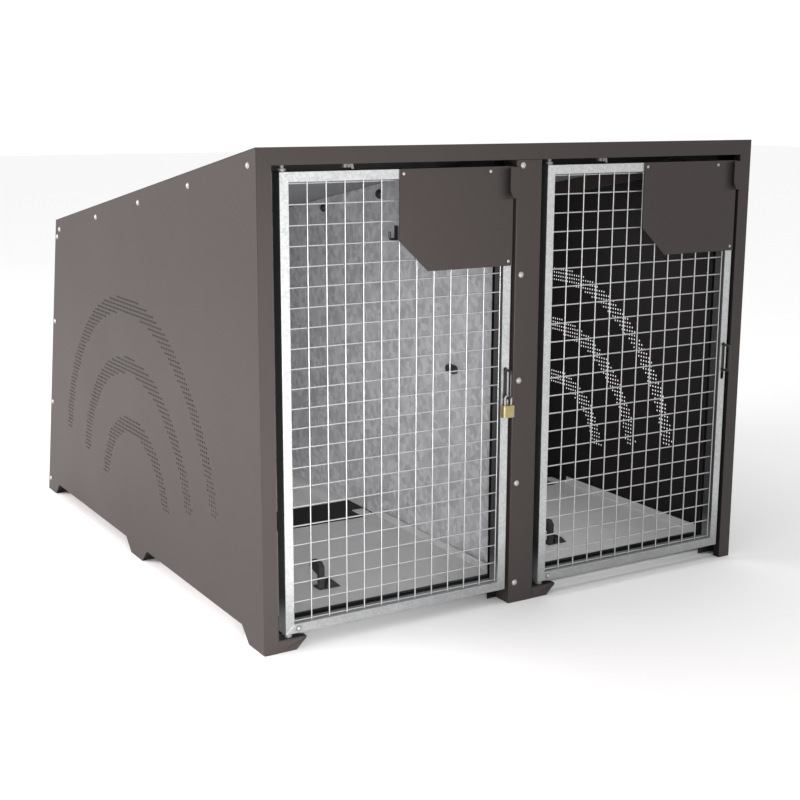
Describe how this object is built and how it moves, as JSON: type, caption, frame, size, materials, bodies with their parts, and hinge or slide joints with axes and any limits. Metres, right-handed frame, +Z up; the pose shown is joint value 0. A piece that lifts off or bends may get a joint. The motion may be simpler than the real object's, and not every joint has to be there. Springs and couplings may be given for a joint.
{
  "type": "bicycle locker",
  "caption": "Low steel bicycle locker with side-by-side bays, sloping roof, pivoted wire-mesh doors, latch loops and a padlock.",
  "frame": {"origin": "centre of the underside of the middle base channel, on the ground", "axes": "+X to the right seen from the door side, +Y from the doors towards the rear, +Z up"},
  "size_m": [1.578, 1.8162, 1.2545],
  "materials": {
    "paint": "matt grey-brown powder coat",
    "dark_paint": "matt dark grey-brown powder coat in the shade",
    "galvanised": "hot-dip galvanised with a light spangle",
    "wire": "bright galvanised wire",
    "steel": "plain zinc-plated steel",
    "black_plastic": "matt black moulding",
    "black_steel": "satin black",
    "brass": "satin brass"
  },
  "bodies": {
    "cabinet": {"left_side_panel": "paint", "right_side_panel": "paint", "roof_panel": "paint", "rear_panel": "paint", "centre_post": "paint", "centre_upright": "dark_paint", "left_corner_upright": "galvanised", "right_corner_upright": "galvanised", "partition_panel": "galvanised", "front_sill": "dark_paint", "middle_base_channel": "dark_paint", "rear_base_channel": "dark_paint", "left_floor_tray": "galvanised", "right_floor_tray": "galvanised", "centre_bolt_1": "steel", "centre_bolt_2": "steel", "centre_bolt_3": "steel", "centre_bolt_4": "steel", "centre_bolt_5": "steel", "partition_knob_1": "black_plastic", "partition_knob_2": "black_plastic", "partition_knob_3": "black_plastic", "partition_hook": "black_steel", "partition_eye": "black_plastic", "left_bottom_bracket": "paint", "left_bracket_pad": "black_plastic", "left_bottom_pin": "steel", "left_wheel_holder": "black_plastic", "left_beam_lug": "steel", "right_bottom_bracket": "paint", "right_bracket_pad": "black_plastic", "right_bottom_pin": "steel", "right_wheel_holder": "black_plastic", "right_beam_lug": "steel"},
    "left_door": {"left_door_frame": "galvanised", "left_door_mesh": "wire", "left_top_pin": "steel", "left_pivot_screw": "steel", "left_cover_plate": "paint", "left_pull_tab": "paint"},
    "right_door": {"right_door_frame": "galvanised", "right_door_mesh": "wire", "right_top_pin": "steel", "right_pivot_screw": "steel", "right_cover_plate": "paint", "right_pull_tab": "paint"},
    "left_latch": {"left_latch_loop": "black_steel"},
    "right_latch": {"right_latch_loop": "black_steel"},
    "shackle": {"padlock_shackle": "steel"},
    "padlock": {"padlock_body": "brass"}
  },
  "joints": [
    {"name": "left_door_swing", "type": "hinge", "parent": "cabinet", "child": "left_door", "pos_m": [-0.709, -0.88609, 0.6], "axis": [0, 0, -1], "range_deg": [0, 110]},
    {"name": "right_door_swing", "type": "hinge", "parent": "cabinet", "child": "right_door", "pos_m": [0.075, -0.88609, 0.6], "axis": [0, 0, -1], "range_deg": [0, 110]},
    {"name": "left_latch_pull", "type": "slide", "parent": "left_door", "child": "left_latch", "axis": [0, 0, 1], "range_m": [-0.022, 0]},
    {"name": "right_latch_pull", "type": "slide", "parent": "right_door", "child": "right_latch", "axis": [0, 0, 1], "range_m": [-0.022, 0]},
    {"name": "padlock_swing", "type": "hinge", "parent": "left_latch", "child": "shackle", "pos_m": [-0.062, -0.91359, 0.586], "axis": [0, 1, 0], "range_deg": [-45, 45]},
    {"name": "padlock_open", "type": "slide", "parent": "shackle", "child": "padlock", "axis": [0, 0, -1], "range_m": [0, 0.009]}
  ]
}
